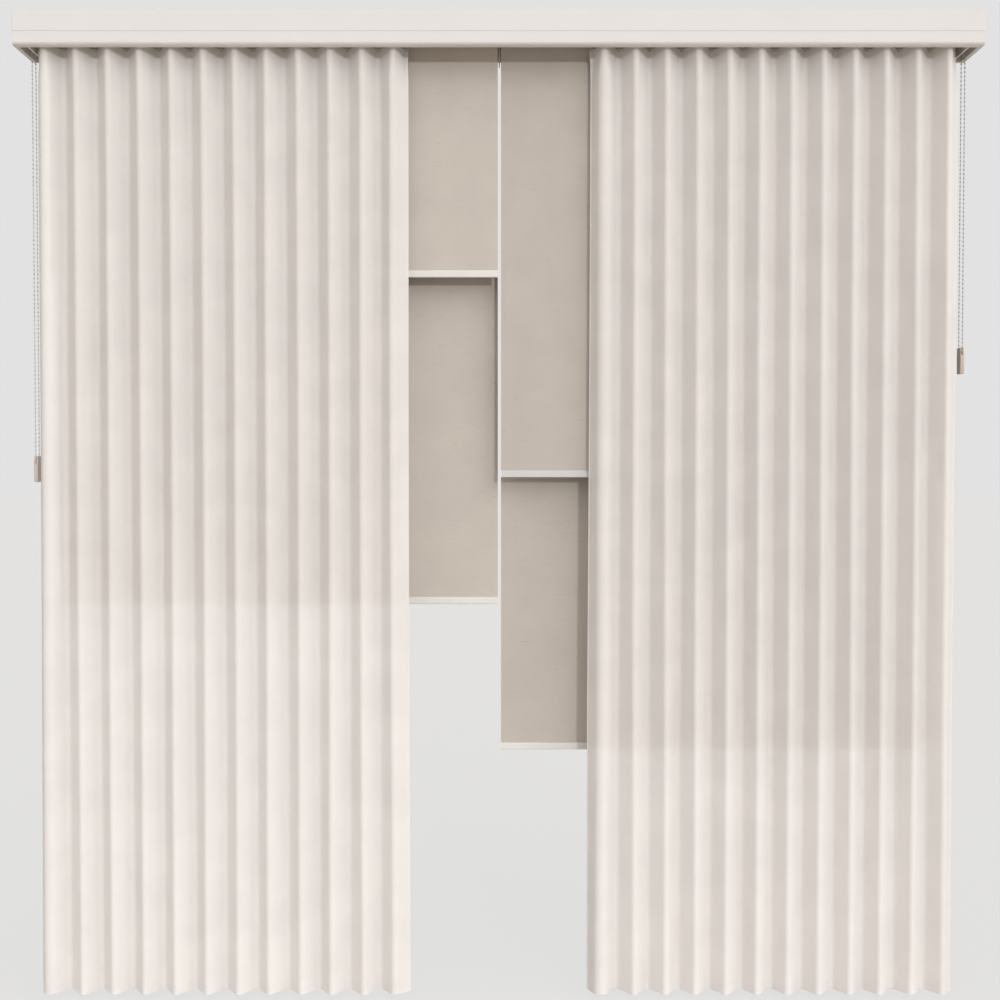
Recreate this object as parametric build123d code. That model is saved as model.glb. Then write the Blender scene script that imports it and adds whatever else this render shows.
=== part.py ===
from build123d import *
from math import asin, atan2, cos, hypot, pi, sin, sqrt
import os

# A pelmet with two drawn sheer curtains and four roller blinds, two in front and two behind.
# Millimetres. Seen from the room, +X is right, +Y runs back to the wall and +Z is up.
# The origin is the centre of the pelmet's top face, which meets the ceiling.

# Pelmet boards
pelmet_width = 2700.0
pelmet_height = 100.0
pelmet_depth = 178.0
fascia_thickness = 25.0
fascia_nose_radius = 10.0
fascia_corner_radius = 2.5
fascia_band_height = 39.0
fascia_band_recess = 0.8
end_board_thickness = 12.0
top_board_thickness = 18.0
back_board_thickness = 12.0

# Plates that carry the rollers
side_plate_thickness = 5.0
chain_space = 23.0
centre_plate_thickness = 3.0
centre_plate_drop = 20.0
centre_flange_length = 30.0
centre_flange_thickness = 3.0
bearing_clearance = 0.05
running_gap = 0.4

# Holes for fixing to a wall or ceiling
fixing_hole_radius = 3.0
fixing_end_inset = 150.0
wall_spacing_z = 50.0
ceiling_spacing_y = 90.0

# Screws
screw_radius = 2.0
screw_head_radius = 4.0
screw_length = 45.0
hanger_screw_length = 16.0
screw_clearance = 0.1
top_screw_inset = 27.0
back_screw_drop = 70.0
centre_screw_inset = 15.0

# Curtain rail
rail_width = 22.0
rail_height = 14.0
rail_wall = 1.6
rail_slot = 6.0
rail_drop = 60.0
rail_end_gap = 2.5
rail_cap_thickness = 1.8
hanger_count = 5
hanger_end_inset = 207.5
hanger_width = 24.0
hanger_thickness = 2.0
hanger_flange = 20.0

# Curtains
curtain_thickness = 0.6
curtain_setback = 29.0
curtain_depth = 48.0
curtain_fold_radius = 11.5
curtain_edge_flat = 4.0
curtain_outer_inset = 30.0
curtain_inner_inset = 40.0
curtain_rail_gap = 15.5
curtain_length = 2684.5
fold_count = 12
left_curtain_width = 1048.0
left_curtain_end_gap = 7.0
right_curtain_width = 1036.0
right_curtain_end_gap = 17.0

# Gliders
soft_clearance = 0.3
slider_length = 12.0
slider_width = 16.0
slider_height = 6.0
neck_width = 4.0
clip_width = 6.0
clip_wall = 2.0
clip_block_height = 8.0
clip_reach = 9.0

# Roller blinds
blind_centre_x = 2.4
column_gap = 9.2
blind_outer_margin = 30.0
tube_radius = 16.0
tube_wall = 1.4
blind_cloth_thickness = 0.4
spare_cloth = 200.0
front_axis_back = 113.5
front_axis_drop = 44.0
rear_axis_back = 140.0
rear_axis_drop = 80.0
left_front_drop = 686.5
right_front_drop = 1257.0
left_rear_drop = 1590.5
right_rear_drop = 2017.0
plug_clearance = 0.1
plug_length = 22.0
flange_thickness = 2.0
pin_radius = 4.0
centre_pin_gap = 0.3
side_pin_recess = 0.5

# Bottom bars
bar_thickness = 9.0
bar_height = 20.0
bar_corner_radius = 2.5
bar_cap_thickness = 2.0
bar_slot_depth = 6.0

# Chain wheels, bead chains and pendants
shaft_radius = 6.0
wheel_width = 10.0
wheel_radius = 17.5
chain_reach = 15.5
chain_diameter = 5.0
chain_gap = 6.4
chain_top_flat = 0.1
chain_bottom_flat = 1.55
left_pendant_top = 1240.0
right_pendant_top = 930.0
pendant_width = 11.7
pendant_depth = 27.0
pendant_belly = 2.0
pendant_length = 74.6
chain_in_pendant = 27.0
pendant_edge_radius = 1.5

# Places worked out from the sizes above
front_y = -pelmet_depth / 2
back_y = pelmet_depth / 2
fascia_back = front_y + fascia_thickness
back_board_front = back_y - back_board_thickness
inner_x = pelmet_width / 2 - end_board_thickness
side_plate_x = inner_x - chain_space
under_top = -top_board_thickness
curtain_middle_y = front_y + curtain_setback + curtain_depth / 2
fold_reach = (curtain_depth - curtain_thickness) / 2
valley_y = curtain_middle_y + fold_reach
rail_y = valley_y
rail_bottom = -rail_drop - rail_height
curtain_top = rail_bottom - curtain_rail_gap
roll_radius = sqrt(tube_radius**2 + spare_cloth * blind_cloth_thickness / pi)
plate_inner_x = side_plate_x - side_plate_thickness
rail_end_x = plate_inner_x - rail_end_gap
hanger_pitch = 2 * (rail_end_x - hanger_end_inset) / (hanger_count - 1)
fixing_x = pelmet_width / 2 - fixing_end_inset
tube_outer_x = plate_inner_x - running_gap - flange_thickness
tube_inner_offset = centre_plate_thickness / 2 + running_gap + flange_thickness
cloth_outer_x = plate_inner_x - blind_outer_margin
wheel_middle_x = (side_plate_x + inner_x) / 2


def slab(x0, x1, y0, y1, z0, z1):
    """A plain block between two opposite corners."""
    centre = Pos((x0 + x1) / 2, (y0 + y1) / 2, (z0 + z1) / 2)
    return centre * Box(abs(x1 - x0), abs(y1 - y0), abs(z1 - z0))


def rod(x0, x1, y, z, radius):
    """A round bar along X."""
    return Pos((x0 + x1) / 2, y, z) * Rot(0, 90, 0) * Cylinder(radius, abs(x1 - x0))


def along_x(profile, x0, x1):
    """A section drawn in Y and Z, run along X."""
    return Pos(x0, 0, 0) * extrude(Plane.YZ * profile, x1 - x0)


def save(name, shape):
    export_step(shape, "parts/" + name + ".step")


def screw(length):
    """A countersunk screw that stands on its point, its head's face at the origin."""
    head_height = screw_head_radius - screw_radius
    head = Pos(0, 0, -head_height / 2) * Cone(screw_radius, screw_head_radius, head_height)
    shank_length = length - head_height
    return head + Pos(0, 0, -head_height - shank_length / 2) * Cylinder(screw_radius, shank_length)


def screw_hole(length):
    """The hole that a screw fills, a little larger all round."""
    head_height = screw_head_radius - screw_radius
    radius = screw_radius + screw_clearance
    mouth = screw_head_radius + screw_clearance
    head = Pos(0, 0, -head_height / 2) * Cone(radius, mouth, head_height)
    return head + Pos(0, 0, -length / 2) * Cylinder(radius, length + 2 * screw_clearance)


def end_screw_places():
    """Where screws pass through the end boards into the top and back boards."""
    places = []
    for side in (-1, 1):
        turn = Rot(0, 90 * side, 0)
        x = side * pelmet_width / 2
        top_z = -top_board_thickness / 2
        back_board_y = back_y - back_board_thickness / 2
        for y in (fascia_back + top_screw_inset, back_board_front - top_screw_inset):
            places.append(Pos(x, y, top_z) * turn)
        places.append(Pos(x, back_board_y, -back_screw_drop) * turn)
    return places


def hanger_xs():
    """The middles of the rail hangers, evenly spaced, the middle one beside the centre bracket."""
    first = blind_centre_x + centre_flange_length - (hanger_count - 1) / 2 * hanger_pitch
    return [first + k * hanger_pitch for k in range(hanger_count)]


def hanger_screw_places():
    """Where screws hold the rail hangers and the centre bracket up to the top board."""
    places = []
    flip = Rot(180, 0, 0)
    hanger_y = rail_y - rail_width / 2 - hanger_flange / 2
    for x in hanger_xs():
        places.append(Pos(x, hanger_y, under_top - hanger_thickness) * flip)
    x = blind_centre_x + centre_plate_thickness / 2 + centre_flange_length / 2
    for y in (centre_plate_front() + centre_screw_inset, centre_plate_back() - centre_screw_inset):
        places.append(Pos(x, y, under_top - centre_flange_thickness) * flip)
    return places


def end_screw_holes():
    return [place * screw_hole(screw_length) for place in end_screw_places()]


def hanger_screw_holes():
    return [place * screw_hole(hanger_screw_length) for place in hanger_screw_places()]


def centre_plate_front():
    return front_y + front_axis_back - tube_radius


def centre_plate_back():
    return front_y + rear_axis_back + tube_radius


def fascia_board():
    """The front board: a lower band set back a little, and a rounded lower edge."""
    half = pelmet_width / 2
    middle_y = front_y + fascia_thickness / 2
    section = Pos(middle_y, -pelmet_height / 2) * Rectangle(fascia_thickness, pelmet_height)
    band = Rectangle(2 * fascia_band_recess, 2 * fascia_band_height)
    section -= Pos(front_y, -pelmet_height) * band
    nose = section.vertices().sort_by(Axis.Y)[:2].sort_by(Axis.X)[0]
    section = fillet(nose, fascia_nose_radius)
    board = along_x(section, -half, half)
    plan = Pos(0, middle_y) * Rectangle(pelmet_width, fascia_thickness)
    plan = fillet(plan.vertices().group_by(Axis.Y)[0], fascia_corner_radius)
    return board & extrude(plan, -pelmet_height)


def ceiling_holes():
    holes = []
    middle_y = (fascia_back + back_board_front) / 2
    for sx in (-1, 1):
        for sy in (-1, 1):
            place = Pos(sx * fixing_x, middle_y + sy * ceiling_spacing_y / 2, under_top / 2)
            holes.append(place * Cylinder(fixing_hole_radius, 2 * top_board_thickness))
    return holes


def wall_holes():
    holes = []
    for sx in (-1, 1):
        for sz in (-1, 1):
            z = -pelmet_height / 2 + sz * wall_spacing_z / 2
            place = Pos(sx * fixing_x, back_y - back_board_thickness / 2, z)
            holes.append(place * Rot(90, 0, 0) * Cylinder(fixing_hole_radius, 2 * back_board_thickness))
    return holes


def pelmet():
    end_cuts = end_screw_holes()
    save("fascia_board", fascia_board())
    top = slab(-inner_x, inner_x, fascia_back, back_board_front, under_top, 0)
    save("top_board", top - end_cuts - hanger_screw_holes() - ceiling_holes())
    back = slab(-inner_x, inner_x, back_board_front, back_y, -pelmet_height, 0)
    save("back_board", back - end_cuts - wall_holes())
    for name, side in (("left", -1), ("right", 1)):
        board = slab(side * inner_x, side * pelmet_width / 2, fascia_back, back_y, -pelmet_height, 0)
        save("end_board_" + name, board - end_cuts)
    save("board_screws", Compound([place * screw(screw_length) for place in end_screw_places()]))
    screws = [place * screw(hanger_screw_length) for place in hanger_screw_places()]
    save("hanger_screws", Compound(screws))


def roller_axes():
    """The front and rear roller axes, as their places in Y and Z."""
    front = (front_y + front_axis_back, -front_axis_drop)
    rear = (front_y + rear_axis_back, -rear_axis_drop)
    return front, rear


def side_plate(side):
    """The plate inside each end board that carries the outer ends of the rollers."""
    x0 = side * side_plate_x
    x1 = side * plate_inner_x
    plate = slab(x0, x1, fascia_back, back_board_front, -pelmet_height, under_top)
    (front_axle_y, front_axle_z), (rear_axle_y, rear_axle_z) = roller_axes()
    reach = 2 * side_plate_thickness
    plate -= rod(x0 - reach, x0 + reach, front_axle_y, front_axle_z, shaft_radius + bearing_clearance)
    plate -= rod(x0 - reach, x0 + reach, rear_axle_y, rear_axle_z, pin_radius + bearing_clearance)
    return plate


def centre_bracket():
    """The plate between the two columns of blinds, with a flange screwed to the top board."""
    half = centre_plate_thickness / 2
    x0 = blind_centre_x - half
    x1 = blind_centre_x + half
    y0 = centre_plate_front()
    y1 = centre_plate_back()
    plate = slab(x0, x1, y0, y1, -pelmet_height - centre_plate_drop, under_top)
    flange = slab(x1, x1 + centre_flange_length, y0, y1, under_top - centre_flange_thickness, under_top)
    bracket = plate + flange - hanger_screw_holes()
    for axle_y, axle_z in roller_axes():
        bracket -= rod(x0 - half, x1 + half, axle_y, axle_z, pin_radius + bearing_clearance)
    return bracket


def rail_section():
    """A box channel with a slot along its lower face."""
    middle = Pos(rail_y, -rail_drop - rail_height / 2)
    section = middle * Rectangle(rail_width, rail_height)
    section -= middle * Rectangle(rail_width - 2 * rail_wall, rail_height - 2 * rail_wall)
    return section - Pos(rail_y, rail_bottom) * Rectangle(rail_slot, 2 * rail_wall)


def hanger(x):
    """A bent strap: screwed to the top board, down beside the rail's line and on top of the rail."""
    y1 = rail_y - rail_width / 2
    x0 = x - hanger_width / 2
    x1 = x + hanger_width / 2
    upper = slab(x0, x1, y1 - hanger_flange, y1, under_top - hanger_thickness, under_top)
    strap = slab(x0, x1, y1 - hanger_thickness, y1, -rail_drop, under_top)
    foot = slab(x0, x1, y1 - hanger_thickness, y1 + rail_width, -rail_drop, -rail_drop + hanger_thickness)
    return upper + strap + foot - hanger_screw_holes()


def rail():
    save("curtain_rail", along_x(rail_section(), -rail_end_x, rail_end_x))
    caps = []
    for side in (-1, 1):
        x0 = side * rail_end_x
        x1 = side * (rail_end_x + rail_cap_thickness)
        y0 = rail_y - rail_width / 2
        caps.append(slab(x0, x1, y0, y0 + rail_width, rail_bottom, -rail_drop))
    save("rail_end_caps", Compound(caps))
    save("rail_hangers", Compound([hanger(x) for x in hanger_xs()]))


def fold_middles(x_start, width, first_inset, last_inset):
    """Where the folds' middles lie along the curtain: back, front, back and so on, with a back fold last."""
    first = x_start + first_inset
    half_pitch = (width - first_inset - last_inset) / (fold_count - 1) / 2
    inner = [first + k * half_pitch for k in range(2 * fold_count - 1)]
    return [x_start + curtain_edge_flat, *inner, x_start + width - curtain_edge_flat]


def fold_turn(half_pitch):
    """The angle from a fold's middle to where its round meets the straight flank to the next fold."""
    between = 2 * (fold_reach - curtain_fold_radius)
    spread = hypot(half_pitch, between)
    return pi / 2 - atan2(half_pitch, between) + asin(2 * curtain_fold_radius / spread)


def wave_edges(middles, offset):
    """One face of the cloth seen from above, offset from its middle: round folds, straight flanks."""
    turns = [0.0, *[fold_turn(b - a) for a, b in zip(middles, middles[1:])], 0.0]
    edges = []
    last = (middles[0] - curtain_edge_flat, valley_y - offset)
    for k, x in enumerate(middles):
        side = 1 if k % 2 == 0 else -1
        radius = curtain_fold_radius - side * offset
        centre_y = curtain_middle_y + side * (fold_reach - curtain_fold_radius)
        angles = (-turns[k], (turns[k + 1] - turns[k]) / 2, turns[k + 1])
        places = [(x + radius * sin(a), centre_y + side * radius * cos(a)) for a in angles]
        edges.append(Line(last, places[0]))
        edges.append(ThreePointArc(*places))
        last = places[2]
    edges.append(Line(last, (middles[-1] + curtain_edge_flat, valley_y - offset)))
    return edges


def curtain(middles):
    """A sheer curtain in even soft folds, straight down from the rail."""
    half = curtain_thickness / 2
    front = wave_edges(middles, half)
    back = wave_edges(middles, -half)
    ends = [Line(front[0] @ 0, back[0] @ 0), Line(front[-1] @ 1, back[-1] @ 1)]
    section = make_face(front + back + ends)
    return Pos(0, 0, curtain_top - curtain_length) * extrude(section, curtain_length, dir=(0, 0, 1))


def glider(x):
    """A slider in the rail with a clip that straddles the cloth at a back fold."""
    lip_top = rail_bottom + rail_wall
    half = slider_length / 2
    body = slab(x - half, x + half, rail_y - slider_width / 2, rail_y + slider_width / 2,
                lip_top + soft_clearance, lip_top + soft_clearance + slider_height)
    block_bottom = curtain_top + soft_clearance
    block_top = block_bottom + clip_block_height
    neck = neck_width / 2
    body += slab(x - neck, x + neck, rail_y - neck, rail_y + neck, block_top, lip_top + soft_clearance)
    fold_sag = (clip_width / 2) ** 2 / (2 * (curtain_fold_radius - curtain_thickness))
    cloth = curtain_thickness / 2 + soft_clearance
    x0 = x - clip_width / 2
    x1 = x + clip_width / 2
    front_face = valley_y - cloth - fold_sag
    back_face = valley_y + cloth
    body += slab(x0, x1, front_face - clip_wall, back_face + clip_wall, block_bottom, block_top)
    body += slab(x0, x1, front_face - clip_wall, front_face, block_bottom - clip_reach, block_bottom)
    body += slab(x0, x1, back_face, back_face + clip_wall, block_bottom - clip_reach, block_bottom)
    return body


def curtains():
    left_start = left_curtain_end_gap - plate_inner_x
    right_start = plate_inner_x - right_curtain_end_gap - right_curtain_width
    left = fold_middles(left_start, left_curtain_width, curtain_outer_inset, curtain_inner_inset)
    right = fold_middles(right_start, right_curtain_width, curtain_inner_inset, curtain_outer_inset)
    for name, middles in (("left", left), ("right", right)):
        save("curtain_" + name, curtain(middles))
        places = middles[::2]
        if name == "right":
            places.reverse()
        save("gliders_" + name, Compound([glider(x) for x in places[:-1]]))
        save("lead_glider_" + name, glider(places[-1]))


def bar_section(y, top):
    """A flat bar with rounded corners and a slot for the cloth along its top."""
    section = Pos(y, top - bar_height / 2) * RectangleRounded(bar_thickness, bar_height, bar_corner_radius)
    slot = Rectangle(blind_cloth_thickness + 2 * soft_clearance, 2 * bar_slot_depth)
    return section - Pos(y, top) * slot


def chain_wheel(side, y, z):
    """The grooved wheel, its shaft through the side plate and its plug in the tube."""
    outer = side * (wheel_middle_x + wheel_width / 2)
    inner = side * (wheel_middle_x - wheel_width / 2)
    tube_end = side * tube_outer_x
    plug_end = side * (tube_outer_x - plug_length)
    flange_end = side * (tube_outer_x + flange_thickness)
    wheel = rod(inner, outer, y, z, wheel_radius)
    groove_radius = chain_reach - chain_diameter / 2 - soft_clearance
    groove_width = chain_diameter + 2 * soft_clearance
    x0 = side * (wheel_middle_x - groove_width / 2)
    x1 = side * (wheel_middle_x + groove_width / 2)
    wheel -= rod(x0, x1, y, z, 2 * wheel_radius) - rod(x0, x1, y, z, groove_radius)
    shaft = rod(flange_end, inner, y, z, shaft_radius)
    flange = rod(tube_end, flange_end, y, z, tube_radius)
    plug = rod(plug_end, tube_end, y, z, tube_radius - tube_wall - plug_clearance)
    return wheel + shaft + flange + plug


def pin_plug(tube_end, side, pin_length, y, z):
    """A plug in a tube's end, with a flange and a pin that turns in a plate."""
    flange_end = tube_end + side * flange_thickness
    plug = rod(tube_end - side * plug_length, tube_end, y, z, tube_radius - tube_wall - plug_clearance)
    flange = rod(tube_end, flange_end, y, z, tube_radius)
    pin = rod(flange_end, flange_end + side * (running_gap + pin_length), y, z, pin_radius)
    return plug + flange + pin


def blind(name, side, layer, y, z, drop):
    """One roller blind. The front ones unroll from the front of the roll, the rear ones from the back."""
    tube_inner_x = blind_centre_x + side * tube_inner_offset
    tube_end = side * tube_outer_x
    cloth_inner_x = blind_centre_x + side * column_gap / 2
    cloth_end = side * cloth_outer_x
    tube = rod(tube_inner_x, tube_end, y, z, tube_radius)
    save(name + "_tube", tube - rod(tube_inner_x, tube_end, y, z, tube_radius - tube_wall))
    roll = rod(cloth_inner_x, cloth_end, y, z, roll_radius)
    save(name + "_roll", roll - rod(cloth_inner_x, cloth_end, y, z, tube_radius))
    forward = -1 if layer == "front" else 1
    cloth_y = y + forward * (roll_radius + soft_clearance + blind_cloth_thickness / 2)
    bar_top = z - drop + bar_height
    half = blind_cloth_thickness / 2
    cloth_bottom = bar_top - bar_slot_depth + soft_clearance
    save(name + "_cloth", slab(cloth_inner_x, cloth_end, cloth_y - half, cloth_y + half, cloth_bottom, z))
    bar_inner = cloth_inner_x + side * bar_cap_thickness
    bar_outer = cloth_end - side * bar_cap_thickness
    x0, x1 = sorted((bar_inner, bar_outer))
    save(name + "_bar", along_x(bar_section(cloth_y, bar_top), x0, x1))
    ends = [(x0 - bar_cap_thickness, x0), (x1, x1 + bar_cap_thickness)]
    caps = [along_x(bar_section(cloth_y, bar_top), *end) for end in ends]
    save(name + "_bar_caps", Compound(caps))
    centre_pin = (centre_plate_thickness - centre_pin_gap) / 2
    save(name + "_idle_plug", pin_plug(tube_inner_x, -side, centre_pin, y, z))
    if layer == "front":
        save(name + "_chain_wheel", chain_wheel(side, y, z))
    else:
        side_pin = side_plate_thickness - side_pin_recess
        save(name + "_spring_plug", pin_plug(tube_end, side, side_pin, y, z))


def chain_radii():
    """The chain's arcs over the wheel and round the bottom of its loop in the pendant."""
    wheel_arc = chain_reach - chain_gap / 2 - chain_top_flat
    return wheel_arc, chain_reach - chain_bottom_flat


def chain_path(side, pendant_top):
    """Over the wheel, down behind it, through the pendant and up in front, all in one plane."""
    y, z = roller_axes()[0]
    x = side * wheel_middle_x
    top = z + chain_reach
    bottom = -pendant_top - chain_in_pendant
    points = [(x, y + chain_gap / 2, top), (x, y + chain_reach, top), (x, y + chain_reach, bottom),
              (x, y - chain_reach, bottom), (x, y - chain_reach, top), (x, y - chain_gap / 2, top)]
    wheel_arc, pendant_arc = chain_radii()
    return FilletPolyline(*points, radius=[wheel_arc, pendant_arc, pendant_arc, wheel_arc])


def along_chain(side, pendant_top, radius):
    path = chain_path(side, pendant_top)
    start = Plane(origin=path @ 0, z_dir=path % 0)
    return sweep(start * Circle(radius), path=path)


def pendant(side, pendant_top):
    """A block with bowed faces that hangs on the chain, which runs down two grooves and through it."""
    y = roller_axes()[0][0]
    half = pendant_depth / 2
    upper = -pendant_top
    lower = upper - pendant_length
    middle = (upper + lower) / 2
    bow = half + pendant_belly
    outline = [Line((y - half, upper), (y + half, upper)),
               ThreePointArc((y + half, upper), (y + bow, middle), (y + half, lower)),
               Line((y + half, lower), (y - half, lower)),
               ThreePointArc((y - half, lower), (y - bow, middle), (y - half, upper))]
    x = side * wheel_middle_x
    block = along_x(make_face(outline), x - pendant_width / 2, x + pendant_width / 2)
    block = fillet(block.edges(), pendant_edge_radius)
    return block - along_chain(side, pendant_top, chain_diameter / 2 + soft_clearance)


def chains():
    print("chain arc radii", chain_radii())
    for name, side, pendant_top in (("left", -1, left_pendant_top), ("right", 1, right_pendant_top)):
        path = chain_path(side, pendant_top)
        tube = along_chain(side, pendant_top, chain_diameter / 2)
        expected = pi * (chain_diameter / 2) ** 2 * path.length
        print("chain", name, "length", path.length, "volume ratio", tube.volume / expected)
        save("chain_" + name, tube)
        save("pendant_" + name, pendant(side, pendant_top))


def blinds():
    front, rear = roller_axes()
    blind("left_front", -1, "front", *front, left_front_drop)
    blind("right_front", 1, "front", *front, right_front_drop)
    blind("left_rear", -1, "rear", *rear, left_rear_drop)
    blind("right_rear", 1, "rear", *rear, right_rear_drop)


os.makedirs("parts", exist_ok=True)
pelmet()
save("side_plate_left", side_plate(-1))
save("side_plate_right", side_plate(1))
save("centre_bracket", centre_bracket())
rail()
curtains()
blinds()
chains()
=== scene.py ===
import bmesh
import bpy
import math
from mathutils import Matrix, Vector, noise


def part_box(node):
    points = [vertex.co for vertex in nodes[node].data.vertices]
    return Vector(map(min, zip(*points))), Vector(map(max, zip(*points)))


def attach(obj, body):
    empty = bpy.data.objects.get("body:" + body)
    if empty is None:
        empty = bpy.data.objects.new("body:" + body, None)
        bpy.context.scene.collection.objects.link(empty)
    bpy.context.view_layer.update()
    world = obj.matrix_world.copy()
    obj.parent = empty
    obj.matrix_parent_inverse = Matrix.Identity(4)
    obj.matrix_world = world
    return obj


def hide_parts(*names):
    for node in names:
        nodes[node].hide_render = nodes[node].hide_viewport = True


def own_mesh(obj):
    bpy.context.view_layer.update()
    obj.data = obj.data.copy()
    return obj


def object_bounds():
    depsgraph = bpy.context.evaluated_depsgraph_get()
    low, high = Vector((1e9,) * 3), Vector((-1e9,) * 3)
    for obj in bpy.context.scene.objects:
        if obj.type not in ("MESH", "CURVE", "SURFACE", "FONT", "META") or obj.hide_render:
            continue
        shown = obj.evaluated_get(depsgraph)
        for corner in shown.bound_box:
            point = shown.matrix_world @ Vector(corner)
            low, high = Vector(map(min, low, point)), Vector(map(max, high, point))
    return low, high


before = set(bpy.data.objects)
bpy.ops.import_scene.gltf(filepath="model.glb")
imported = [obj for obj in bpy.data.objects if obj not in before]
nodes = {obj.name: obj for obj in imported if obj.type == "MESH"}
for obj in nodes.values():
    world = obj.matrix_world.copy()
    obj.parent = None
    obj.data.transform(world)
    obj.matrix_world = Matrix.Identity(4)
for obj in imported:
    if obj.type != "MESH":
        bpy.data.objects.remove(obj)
cad_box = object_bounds()

# Metres and degrees throughout, in the row frame: +X right, +Y back to the wall, +Z up.
# Camera
camera_place = (0.0042, -3.974, -1.257)
camera_pitch_down = 1.567
camera_lens = 50.0
camera_sensor = 36.0
camera_sees_to = 200

# Light. The key lamp's way is read from where the bars' shadows fall.
white = (1.0, 1.0, 1.0)
key_way = (-0.31, 1.0, -0.24)
key_strength = 0.85
key_spread = 4.0
key_colour = (0.97, 1.0, 1.03)
upper_way = (-0.75, 0.75, -1.05)
upper_strength = 1.75
upper_spread = 65.0
fill_way = (0.65, 0.65, -0.90)
fill_strength = 0.95
fill_spread = 70.0
side_way = (-1.0, 0.70, -0.20)
side_strength = 0.35
side_spread = 60.0
room_light = 0.17
room_colour = (1.0, 0.88, 0.76)
backdrop_grey = 0.7605

# Floor. Where the camera looks at it, it is its own colour for one share and a plain glow for the rest.
floor_below_hem = 0.02
floor_half = 60.0
floor_colour = (0.69, 0.63, 0.57)
floor_own_share = 0.10
floor_glow = 0.788

# Chains
wheel_place = (1.3265, 0.0245, -0.044)
chain_reach = 0.0155
chain_gap = 0.0064
chain_straight = 0.030
chain_diameter = 0.005
bead_pitch = 0.012
bead_segments, bead_rings = 10, 7
link_radius = 0.0008
link_sides = 6
link_rings_per_bead = 3
route_steps = 24
route_order = 3
pendant_depth_of_chain = 0.027
pendant_tops = {"left": -1.240, "right": -0.930}

# Curtains: folds, and how far (sway) and how fast (pace) they wander on the way down
fold_count = 12
fold_radius = 0.0115
edge_flat = 0.004
outer_inset = 0.030
inner_inset = 0.040
curtain_cloth = 0.0006
curtain_rows = 60
arc_steps = 8
sway = 0.0035
sway_grows = 3
sway_seed = {"left": 3.1, "right": 11.7}
sway_pace = (1.7, 1.6)
depth_share = 0.5
depth_pace = (2.3, 1.3)
depth_seed_step = 5

# Curtains: the clips at the top, and the free edges, which open, lean and shift below them
clip_drop = 0.012
lead_flat = 0.011
settle_drop = 0.08
free_edge_radius = 0.003
free_edge_open = 0.6
free_edge_forward = (0.003, 0.020)
first_fold_radius = 0.022
low_edge_lean = {"left": (0.0025, -0.006), "right": (0.0008, -0.0066)}
lean_shares = (1.0, 0.9, 0.3)
high_edge_shift = 0.0025
last_fold_shift = {"left": -0.004, "right": 0.0}

# Gliders
weld_distance = 1e-6
glider_edge = 0.0004
glider_edge_steps = 2

# Finishes: colour drift and fine relief
drift_scale = 6.0
fine_detail = 2.0
finish_relief = 0.25

# Cloths: clouds, slubs and threads
cloud_scale, cloud_detail = 9.0, 4.0
cloud_shades = (0.975, 1.02)
slub_scale = 130.0
slub_range = (0.62, 0.80)
wave_period = math.pi / 10
thread_wobble = 1.5
thread_relief, thread_depth = 0.15, 0.0002
cloth_roughness = 0.9
cloth_gloss = 0.15

# Blinds
blind_columns, blind_rows = 40, 60
blinds = ("left_front", "right_front", "left_rear", "right_rear")


def new_material(name):
    material = bpy.data.materials.new(name)
    material.use_nodes = True
    tree = material.node_tree
    tree.nodes.clear()
    return material, tree


def add(tree, kind, **inputs):
    """A node with its plain sockets set by name, with _ for each space."""
    node = tree.nodes.new(kind)
    for name, value in inputs.items():
        node.inputs[name.replace("_", " ")].default_value = value
    return node


def noise_node(tree, scale, detail=3.0, stretch=(1, 1, 1)):
    """Noise in the object's own metres, stretched along an axis where asked."""
    place = tree.nodes.new("ShaderNodeTexCoord")
    mapping = tree.nodes.new("ShaderNodeMapping")
    mapping.inputs["Scale"].default_value = stretch
    texture = add(tree, "ShaderNodeTexNoise", Scale=scale, Detail=detail)
    tree.links.new(place.outputs["Object"], mapping.inputs["Vector"])
    tree.links.new(mapping.outputs["Vector"], texture.inputs["Vector"])
    return texture


def ramp(tree, source, low, high, start=0.35, end=0.65):
    """Two colours mixed by a noise."""
    node = tree.nodes.new("ShaderNodeValToRGB")
    node.color_ramp.elements[0].position = start
    node.color_ramp.elements[1].position = end
    node.color_ramp.elements[0].color = (*low, 1)
    node.color_ramp.elements[1].color = (*high, 1)
    tree.links.new(source.outputs["Fac"], node.inputs["Fac"])
    return node


def bump(tree, height, strength, distance):
    """The normal of a surface that a height moves in and out."""
    node = add(tree, "ShaderNodeBump", Strength=strength, Distance=distance)
    tree.links.new(height, node.inputs["Height"])
    return node.outputs["Normal"]


def mixed(tree, share, first, second):
    """Two shaders mixed. The share of the second is a number or a node's output."""
    node = tree.nodes.new("ShaderNodeMixShader")
    if isinstance(share, float):
        node.inputs["Fac"].default_value = share
    else:
        tree.links.new(share, node.inputs["Fac"])
    tree.links.new(first.outputs[0], node.inputs[1])
    tree.links.new(second.outputs[0], node.inputs[2])
    return node


def combined(tree, operation, first, second):
    """The result of a sum or another operation on two outputs."""
    node = tree.nodes.new("ShaderNodeMath")
    node.operation = operation
    tree.links.new(first, node.inputs[0])
    tree.links.new(second, node.inputs[1])
    return node.outputs["Value"]


def show(tree, surface, kind="ShaderNodeOutputMaterial"):
    tree.links.new(surface.outputs[0], tree.nodes.new(kind).inputs["Surface"])


def shade(colour, share):
    return tuple(c * share for c in colour)


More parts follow.
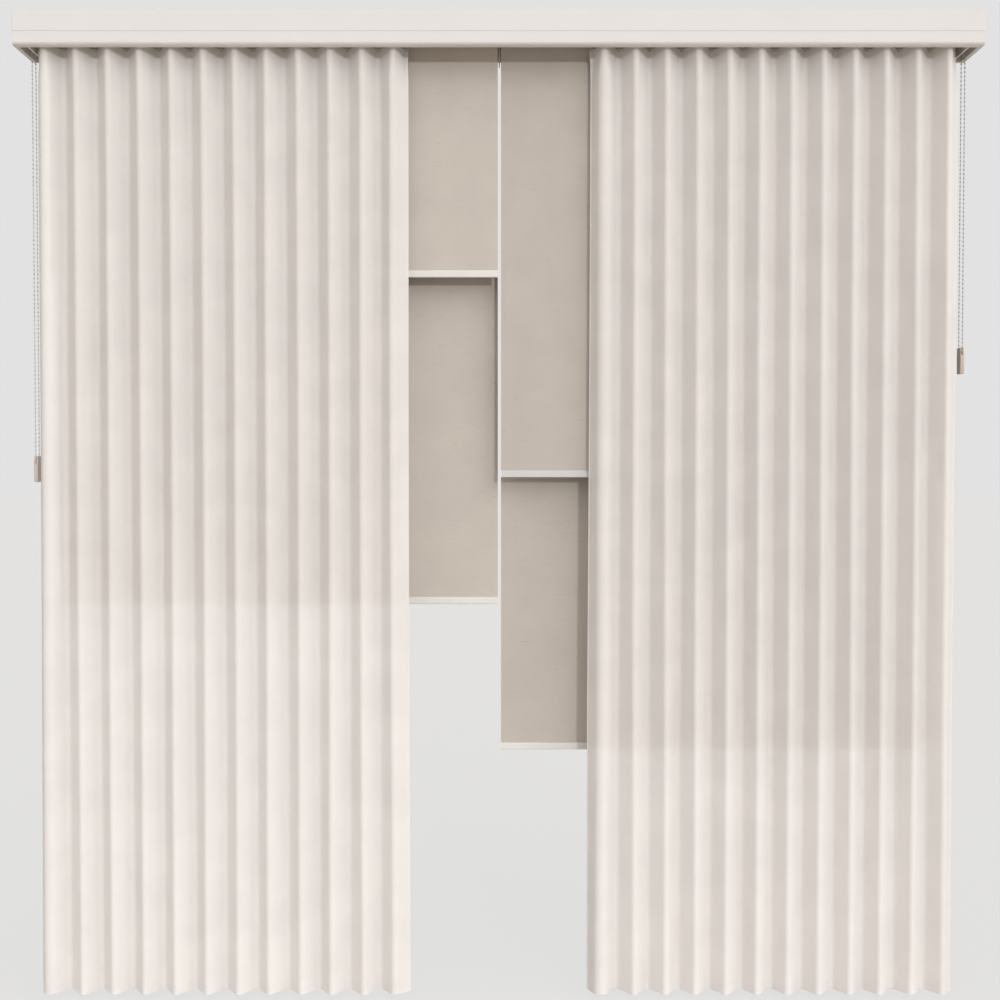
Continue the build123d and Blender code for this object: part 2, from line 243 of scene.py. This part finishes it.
def solid(name, colour, roughness, metallic=0.0, grain=400.0, relief=0.0001, stretch=(1, 1, 1), vary=0.04,
          gloss=0.5):
    """Paint, plastic or metal: a little colour drift, and the fine relief of its finish."""
    material, tree = new_material(name)
    drift = noise_node(tree, drift_scale)
    colours = ramp(tree, drift, shade(colour, 1 - vary), shade(colour, 1 + vary / 2))
    fine = noise_node(tree, grain, fine_detail, stretch)
    surface = add(tree, "ShaderNodeBsdfPrincipled", Roughness=roughness, Metallic=metallic,
                  Specular_IOR_Level=gloss)
    tree.links.new(colours.outputs["Color"], surface.inputs["Base Color"])
    finish = bump(tree, fine.outputs["Fac"], finish_relief, relief)
    tree.links.new(finish, surface.inputs["Normal"])
    show(tree, surface)
    return material


def threads(tree, pitch, direction):
    """Threads side by side along one axis, as a wave texture, which has wave_period at scale 1."""
    place = tree.nodes.new("ShaderNodeTexCoord")
    wave = add(tree, "ShaderNodeTexWave", Scale=wave_period / pitch, Distortion=thread_wobble)
    wave.wave_type = "BANDS"
    wave.bands_direction = direction
    tree.links.new(place.outputs["Object"], wave.inputs["Vector"])
    return wave.outputs["Fac"]


def cloth_colour(tree, colour, slub, slub_stretch):
    """A cloth's colour in soft clouds, times the shade of its slubs."""
    clouds = noise_node(tree, cloud_scale, cloud_detail)
    flecks = noise_node(tree, slub_scale, fine_detail, slub_stretch)
    base = ramp(tree, clouds, *(shade(colour, share) for share in cloud_shades))
    fleck = ramp(tree, flecks, white, shade(white, slub), *slub_range)
    both = tree.nodes.new("ShaderNodeMix")
    both.data_type = "RGBA"
    both.blend_type = "MULTIPLY"
    both.inputs["Factor"].default_value = 1.0
    tree.links.new(base.outputs["Color"], both.inputs["A"])
    tree.links.new(fleck.outputs["Color"], both.inputs["B"])
    return both.outputs["Result"]


def cloth(name, colour, slub, through, clear, thread_pitch, slub_stretch):
    """Woven cloth: threads both ways, slubs, some light through it and a share that is see-through."""
    material, tree = new_material(name)
    dyed = cloth_colour(tree, colour, slub, slub_stretch)
    height = combined(tree, "ADD", threads(tree, thread_pitch, "X"), threads(tree, thread_pitch, "Z"))
    face = add(tree, "ShaderNodeBsdfPrincipled", Roughness=cloth_roughness, Specular_IOR_Level=cloth_gloss)
    tree.links.new(dyed, face.inputs["Base Color"])
    tree.links.new(bump(tree, height, thread_relief, thread_depth), face.inputs["Normal"])
    back = tree.nodes.new("ShaderNodeBsdfTranslucent")
    tree.links.new(dyed, back.inputs["Color"])
    last = mixed(tree, through, face, back)
    if clear > 0:
        last = mixed(tree, clear, last, tree.nodes.new("ShaderNodeBsdfTransparent"))
    show(tree, last)
    return material


def mesh_object(name, points, faces, material, smooth=True):
    mesh = bpy.data.meshes.new(name)
    mesh.from_pydata(points, [], faces)
    mesh.update()
    mesh.polygons.foreach_set("use_smooth", [smooth] * len(mesh.polygons))
    mesh.materials.append(material)
    made = bpy.data.objects.new(name, mesh)
    bpy.context.scene.collection.objects.link(made)
    return made


def grid_faces(down, across):
    """The faces between rows of points, each row below the one before."""
    return [(r * across + c, (r + 1) * across + c, (r + 1) * across + c + 1, r * across + c + 1)
            for r in range(down - 1) for c in range(across - 1)]


def make_camera():
    data = bpy.data.cameras.new("camera")
    data.lens = camera_lens
    data.sensor_width = camera_sensor
    data.clip_end = camera_sees_to
    camera = bpy.data.objects.new("camera", data)
    camera.location = camera_place
    camera.rotation_euler = (math.radians(90 - camera_pitch_down), 0, 0)
    bpy.context.scene.collection.objects.link(camera)
    bpy.context.scene.camera = camera


def chain_line(side, pendant_top):
    """The chain's smooth line: over the wheel, down behind, round in the pendant and up in front."""
    x = side * wheel_place[0]
    y = wheel_place[1]
    top = wheel_place[2] + chain_reach
    bottom = pendant_top - pendant_depth_of_chain
    front, back = y - chain_reach, y + chain_reach
    route = [(x, y + chain_gap / 2, top), (x, back, top), (x, back, top - chain_straight),
             (x, back, bottom + chain_straight), (x, back, bottom), (x, front, bottom),
             (x, front, bottom + chain_straight), (x, front, top - chain_straight),
             (x, front, top), (x, y - chain_gap / 2, top)]
    return smooth_line(route)


def smooth_line(route):
    """Places along the smooth curve that a route's points pull on."""
    curve = bpy.data.curves.new("chain_route", "CURVE")
    curve.dimensions = "3D"
    curve.resolution_u = route_steps
    spline = curve.splines.new("NURBS")
    spline.points.add(len(route) - 1)
    for point, place in zip(spline.points, route):
        point.co = (*place, 1)
    spline.order_u = route_order
    spline.use_endpoint_u = True
    bare = bpy.data.objects.new("chain_route", curve)
    mesh = bpy.data.meshes.new_from_object(bare)
    line = [v.co.copy() for v in mesh.vertices]
    bpy.data.objects.remove(bare)
    bpy.data.curves.remove(curve)
    bpy.data.meshes.remove(mesh)
    return line


def walk(line, step):
    """Places evenly spaced along a line, with the line's direction at each."""
    places = []
    left = 0.0
    for a, b in zip(line, line[1:]):
        run = (b - a).length
        while left <= run:
            places.append((a + (b - a) * (left / run), (b - a) / run))
            left += step
        left -= run
    return places


def add_beads(shape, line):
    for place, _ in walk(line, bead_pitch):
        made = bmesh.ops.create_uvsphere(shape, u_segments=bead_segments, v_segments=bead_rings,
                                         radius=chain_diameter / 2)
        bmesh.ops.translate(shape, verts=made["verts"], vec=place)


def add_link(shape, line):
    """The thin round link that the beads sit on, closed at both ends."""
    across = Vector((1, 0, 0))
    angles = [k * math.tau / link_sides for k in range(link_sides)]
    rings = []
    for place, way in walk(line, bead_pitch / link_rings_per_bead):
        out = across.cross(way).normalized()
        rings.append([shape.verts.new(place + (across * math.cos(a) + out * math.sin(a)) * link_radius)
                      for a in angles])
    for a, b in zip(rings, rings[1:]):
        for k in range(link_sides):
            after = (k + 1) % link_sides
            shape.faces.new((a[k], a[after], b[after], b[k]))
    shape.faces.new(rings[0][::-1])
    shape.faces.new(rings[-1])


def bead_chain(name, side, pendant_top, material):
    """Round beads on a thin link, one mesh along the chain's line."""
    line = chain_line(side, pendant_top)
    shape = bmesh.new()
    add_beads(shape, line)
    add_link(shape, line)
    mesh = bpy.data.meshes.new(name)
    shape.to_mesh(mesh)
    shape.free()
    mesh.polygons.foreach_set("use_smooth", [True] * len(mesh.polygons))
    mesh.materials.append(material)
    chain = bpy.data.objects.new(name, mesh)
    bpy.context.scene.collection.objects.link(chain)
    which = "left" if side < 0 else "right"
    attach(chain, "pelmet")
    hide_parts("chain_" + which)


def fold_middles(low_x, high_x, first_inset, last_inset):
    """Where the folds' middles lie along the curtain: back, front and so on, with a back fold last."""
    first = low_x + first_inset
    half_pitch = (high_x - last_inset - first) / (fold_count - 1) / 2
    inner = [first + k * half_pitch for k in range(2 * fold_count - 1)]
    return [low_x + edge_flat, *inner, high_x - edge_flat]


def fold_turn(half_pitch, between, both_radii):
    """The angle from a fold's middle to where its round meets the straight flank to the next fold."""
    spread = math.hypot(half_pitch, between)
    return math.pi / 2 - math.atan2(half_pitch, between) + math.asin(both_radii / spread)


def fold_line(middles, radii, depths, y_middle, reach, settled):
    """A pleated cloth from above: round folds, straight flanks, and free edges that open as they settle."""
    centres = [reach - radius - depth for radius, depth in zip(radii, depths)]
    turns = [fold_turn(middles[k + 1] - middles[k], centres[k] + centres[k + 1], radii[k] + radii[k + 1])
             for k in range(len(middles) - 1)]
    starts = [free_edge_open * settled * turns[0], *[-turn for turn in turns]]
    ends = [*turns, -free_edge_open * settled * turns[-1]]
    points = []
    for k, x in enumerate(middles):
        side = 1 if k % 2 == 0 else -1
        for step in range(arc_steps + 1):
            turn = starts[k] + (ends[k] - starts[k]) * step / arc_steps
            points.append((x + radii[k] * math.sin(turn),
                           y_middle + side * (centres[k] + radii[k] * math.cos(turn))))
    low_x, low_y = points[0]
    high_x, high_y = points[-1]
    low_end = (low_x - edge_flat * math.cos(starts[0]), low_y + edge_flat * math.sin(starts[0]))
    high_end = (high_x + edge_flat * math.cos(ends[-1]), high_y - edge_flat * math.sin(ends[-1]))
    return [low_end, *points, high_end]


def blend(start, end, share):
    return start + (end - start) * share


def folds_at(side, hung, share, settled):
    """The folds' middles, radii and depths at a share of the way down the curtain."""
    loose = sway * min(1.0, share * sway_grows)
    seed = sway_seed[side]
    middles = [x + loose * noise.noise((k * sway_pace[0], share * sway_pace[1], seed))
               for k, x in enumerate(hung)]
    depths = [abs(depth_share * loose * noise.noise((k * depth_pace[0], share * depth_pace[1],
                                                     seed + depth_seed_step)))
              for k in range(len(hung))]
    radii = [fold_radius] * len(hung)
    radii[0] = radii[-1] = blend(fold_radius, free_edge_radius, settled)
    radii[1] = blend(fold_radius, first_fold_radius, settled)
    depths[0] = settled * free_edge_forward[0]
    depths[-1] = settled * free_edge_forward[1]
    lean = settled * blend(*low_edge_lean[side], share)
    for k, part in enumerate(lean_shares):
        middles[k] += lean * part
    middles[-1] += settled * high_edge_shift
    middles[-2] += settled * last_fold_shift[side]
    return middles, radii, depths


def curtain(side, material):
    """A sheer hung from its gliders: even folds that wander a little on their way down."""
    name = "curtain_" + side
    low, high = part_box(name)
    y_middle = (low.y + high.y) / 2
    reach = (high.y - low.y - curtain_cloth) / 2
    top, hem = high.z, low.z
    insets = (outer_inset, inner_inset) if side == "left" else (inner_inset, outer_inset)
    hung = fold_middles(low.x, high.x, *insets)
    lead_low, lead_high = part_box("lead_glider_" + side)
    lead = (lead_low.x + lead_high.x) / 2
    shares = [0.0, clip_drop / (top - hem), *[row / curtain_rows for row in range(1, curtain_rows + 1)]]
    points = []
    for share in shares:
        z = blend(top, hem, share)
        settled = min(1.0, max(0.0, top - z - clip_drop) / settle_drop)
        line = fold_line(*folds_at(side, hung, share, settled), y_middle, reach, settled)
        if settled == 0:
            # The lead glider's clip holds the cloth flat.
            line = [(x, y_middle + reach if abs(x - lead) < lead_flat else y) for x, y in line]
        points += [(x, y, z) for x, y in line]
    made = mesh_object(name + "_cloth", points, grid_faces(len(shares), len(line)), material)
    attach(made, "pelmet")
    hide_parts(name)
    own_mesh(made)
    gliders(side)


def islands(whole):
    """The vertices of each separate part of a mesh, from low X to high X."""
    left = set(whole.verts)
    found = []
    while left:
        island, todo = set(), [left.pop()]
        while todo:
            vert = todo.pop()
            island.add(vert)
            for edge in vert.link_edges:
                other = edge.other_vert(vert)
                if other in left:
                    left.discard(other)
                    todo.append(other)
        found.append(sorted(island, key=lambda v: v.index))
    return sorted(found, key=middle_x)


def middle_x(verts):
    return sum(v.co.x for v in verts) / len(verts)


def gliders(side):
    """Each glider as a piece of its own, its edges softened."""
    whole = bmesh.new()
    whole.from_mesh(nodes["gliders_" + side].data)
    bmesh.ops.remove_doubles(whole, verts=whole.verts, dist=weld_distance)
    for number, verts in enumerate(islands(whole), 1):
        index = {v: i for i, v in enumerate(verts)}
        faces = [[index[v] for v in f.verts] for f in whole.faces if f.verts[0] in index]
        piece = mesh_object(f"glider_{side}_{number:02d}", [tuple(v.co) for v in verts], faces,
                            glider_plastic, smooth=False)
        soften = piece.modifiers.new("edges", "BEVEL")
        soften.width = glider_edge
        soften.segments = glider_edge_steps
        soften.limit_method = "ANGLE"
        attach(piece, "pelmet")
        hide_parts("gliders_" + side)
        slide_with_cloth(piece)
    whole.free()


def slide_with_cloth(piece):
    """Gives the piece a mesh of its own. Squashed towards a point so far off that the
    piece only moves.
    """
    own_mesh(piece)


def blind_sheet(name, material):
    """The flat hanging cloth of a roller blind."""
    node = name + "_cloth"
    low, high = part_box(node)
    y = (low.y + high.y) / 2
    points = []
    for r in range(blind_rows + 1):
        z = high.z + (low.z - high.z) * r / blind_rows
        for c in range(blind_columns + 1):
            points.append((low.x + (high.x - low.x) * c / blind_columns, y, z))
    faces = grid_faces(blind_rows + 1, blind_columns + 1)
    made = mesh_object(name + "_sheet", points, faces, material, smooth=False)
    thick = made.modifiers.new("thickness", "SOLIDIFY")
    thick.thickness = high.y - low.y
    thick.offset = 0
    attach(made, "pelmet")
    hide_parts(node)
    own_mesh(made)


def paint_nodes(material, *names):
    """A carried-over CAD piece keeps its shape and takes a better material."""
    for name in names:
        slots = nodes[name].data.materials
        slots.clear()
        slots.append(material)


def far_lamp(name, way, strength, spread, colour):
    """A lamp far off that shines along a direction; a wide spread makes its shadows soft."""
    sun = bpy.data.lights.new(name, "SUN")
    sun.energy = strength
    sun.angle = math.radians(spread)
    sun.color = colour
    lamp = bpy.data.objects.new(name, sun)
    lamp.rotation_mode = "QUATERNION"
    lamp.rotation_quaternion = Vector(way).to_track_quat("-Z", "Y")
    bpy.context.scene.collection.objects.link(lamp)


def lights():
    """Four lamps and a dim room. Rays that look at the backdrop see a plain grey instead of the room."""
    far_lamp("key", key_way, key_strength, key_spread, key_colour)
    far_lamp("upper", upper_way, upper_strength, upper_spread, white)
    far_lamp("side", side_way, side_strength, side_spread, white)
    far_lamp("fill", fill_way, fill_strength, fill_spread, white)
    world = bpy.data.worlds.new("room")
    bpy.context.scene.world = world
    world.use_nodes = True
    tree = world.node_tree
    tree.nodes.clear()
    soft = add(tree, "ShaderNodeBackground", Strength=room_light)
    soft.inputs["Color"].default_value = (*room_colour, 1)
    seen = add(tree, "ShaderNodeBackground", Strength=1.0)
    seen.inputs["Color"].default_value = (*shade(white, backdrop_grey), 1)
    show(tree, mixed(tree, seen_rays(tree), soft, seen), "ShaderNodeOutputWorld")


def seen_rays(tree):
    """1 for rays that look at the backdrop: straight, mirrored or through glass."""
    path = tree.nodes.new("ShaderNodeLightPath")
    last = path.outputs["Is Camera Ray"]
    for kind in ("Is Glossy Ray", "Is Transmission Ray"):
        last = combined(tree, "MAXIMUM", last, path.outputs[kind])
    return last


def floor():
    """A plain pale floor, as bright as the backdrop, that takes a faint shadow."""
    z = cad_box[0].z - floor_below_hem
    material, tree = new_material("floor")
    plain = tree.nodes.new("ShaderNodeBsdfDiffuse")
    plain.inputs["Color"].default_value = (*floor_colour, 1)
    glow = add(tree, "ShaderNodeEmission", Strength=floor_glow)
    glow.inputs["Color"].default_value = (*white, 1)
    own = tree.nodes.new("ShaderNodeMath")
    own.operation = "MULTIPLY"
    own.inputs[1].default_value = 1 - floor_own_share
    tree.links.new(seen_rays(tree), own.inputs[0])
    show(tree, mixed(tree, own.outputs["Value"], plain, glow))
    corners = [(-floor_half, -floor_half, z), (floor_half, -floor_half, z),
               (floor_half, floor_half, z), (-floor_half, floor_half, z)]
    mesh_object("floor", corners, [(0, 1, 2, 3)], material, smooth=False)


bpy.context.scene.view_settings.view_transform = "Standard"
make_camera()

chain_plastic = solid("chain_plastic", (0.45, 0.44, 0.42), roughness=0.35, grain=900)
# The left chain takes a paler copy of the chain plastic: painted light, the same plastic made lighter than
# on the right chain.
painted_light_chain_plastic = solid("painted_light_chain_plastic", (0.64, 0.63, 0.61), roughness=0.35, grain=900)
bead_chain("chain_left_beads", -1, pendant_tops["left"], painted_light_chain_plastic)
bead_chain("chain_right_beads", 1, pendant_tops["right"], chain_plastic)

board_paint = solid("board_paint", (0.725, 0.710, 0.700), roughness=0.70, grain=260, relief=0.00005,
                    vary=0.012, gloss=0.25)
plate_paint = solid("plate_paint", (0.70, 0.66, 0.60), roughness=0.45, grain=300)
bracket_paint = solid("bracket_paint", (0.62, 0.56, 0.50), roughness=0.5, grain=300)
steel = solid("screw_steel", (0.60, 0.60, 0.60), roughness=0.35, metallic=1.0, grain=900)
rail_coat = solid("rail_coat", (0.80, 0.79, 0.77), roughness=0.4, grain=350)
white_plastic = solid("white_plastic", (0.76, 0.75, 0.72), roughness=0.45, grain=500)
wheel_plastic = solid("wheel_plastic", (0.55, 0.48, 0.41), roughness=0.5, grain=500)
glider_plastic = solid("glider_plastic", (0.60, 0.54, 0.46), roughness=0.5, grain=600)
tube_metal = solid("tube_metal", (0.75, 0.75, 0.75), roughness=0.35, metallic=1.0, grain=500,
                   stretch=(0.05, 1, 1))
bar_coat = solid("bar_coat", (0.70, 0.695, 0.66), roughness=0.5, grain=400, stretch=(0.1, 1, 1))
# A greyer copy of the bar coat for the right front bar: painted shade, because the right column gets less
# light.
painted_shade_bar_coat = solid("painted_shade_bar_coat", (0.58, 0.585, 0.585), roughness=0.5, grain=400, stretch=(0.1, 1, 1))
pendant_plastic = solid("pendant_plastic", (0.52, 0.43, 0.36), roughness=0.4, grain=500)
# A paler copy of the pendant plastic for the left pendant: painted light, the same plastic made lighter
# than on the right pendant.
painted_light_pendant_plastic = solid("painted_light_pendant_plastic", (0.62, 0.55, 0.49), roughness=0.4, grain=500)
linen = cloth("linen", (0.590, 0.535, 0.482), slub=0.90, through=0.08, clear=0.0,
              thread_pitch=0.0010, slub_stretch=(0.25, 1, 1))
# A darker copy of the linen for the two right blinds: painted shade, because the right curtain keeps light
# from the right column.
right_linen = cloth("right_linen", (0.545, 0.498, 0.450), slub=0.90, through=0.08, clear=0.0,
                    thread_pitch=0.0010, slub_stretch=(0.25, 1, 1))
sheer = cloth("sheer_voile", (0.822, 0.792, 0.768), slub=0.97, through=0.08, clear=0.09,
              thread_pitch=0.0008, slub_stretch=(1, 1, 0.2))

paint_nodes(board_paint, "fascia_board", "top_board", "back_board", "end_board_left", "end_board_right")
paint_nodes(plate_paint, "side_plate_left", "side_plate_right")
paint_nodes(bracket_paint, "centre_bracket", "rail_hangers")
paint_nodes(steel, "board_screws", "hanger_screws")
paint_nodes(rail_coat, "curtain_rail")
paint_nodes(white_plastic, "rail_end_caps")
paint_nodes(glider_plastic, "lead_glider_left", "lead_glider_right")
paint_nodes(painted_light_pendant_plastic, "pendant_left")
paint_nodes(pendant_plastic, "pendant_right")
for blind in blinds:
    # The right blinds take the darker copy of the linen: painted shade.
    blind_linen = right_linen if blind.startswith("right") else linen
    paint_nodes(tube_metal, blind + "_tube")
    paint_nodes(blind_linen, blind + "_roll")
    # The right front bar takes the greyer copy of the bar coat: painted shade.
    paint_nodes(painted_shade_bar_coat if blind == "right_front" else bar_coat, blind + "_bar")
    paint_nodes(white_plastic, blind + "_bar_caps")
    wheel = "_chain_wheel" if "front" in blind else "_spring_plug"
    paint_nodes(wheel_plastic, blind + "_idle_plug", blind + wheel)
    blind_sheet(blind, blind_linen)
curtain("left", sheer)
curtain("right", sheer)
lights()
floor()
